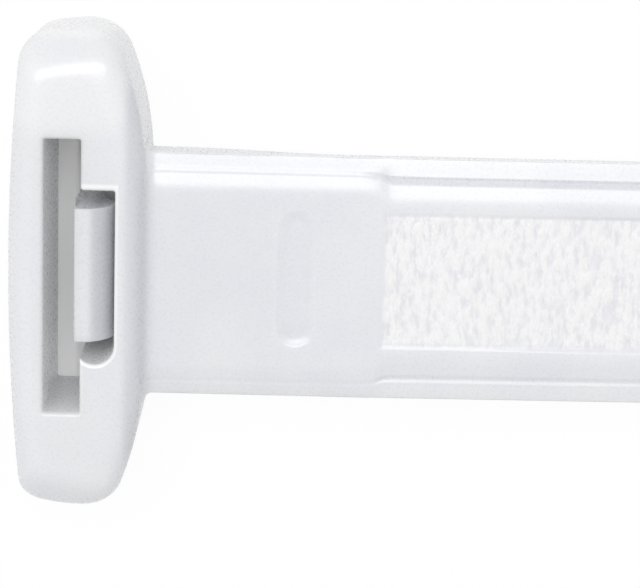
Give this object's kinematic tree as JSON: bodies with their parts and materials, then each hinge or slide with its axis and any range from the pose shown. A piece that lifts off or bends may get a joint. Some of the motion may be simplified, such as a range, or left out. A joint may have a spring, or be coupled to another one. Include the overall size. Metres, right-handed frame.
{
  "type": "cable tie",
  "caption": "Wide one-piece nylon cable tie with a deep oval locking head, a self-locking pawl beside its strap slot and a long strap with side rails, a saw-toothed track and a tapered tail.",
  "frame": {"origin": "middle of the strap slot, on the head's exit face, which stands on the surface", "axes": "+X runs along the strap from the head to the tail, +Y is across the strap, +Z points out of the head's entry face, the way the strap's teeth face"},
  "size_m": [0.2248, 0.0252, 0.008],
  "materials": {
    "natural_nylon": "as moulded, milky natural nylon, half gloss"
  },
  "bodies": {
    "root": {"cable_tie": "natural_nylon"}
  },
  "joints": []
}
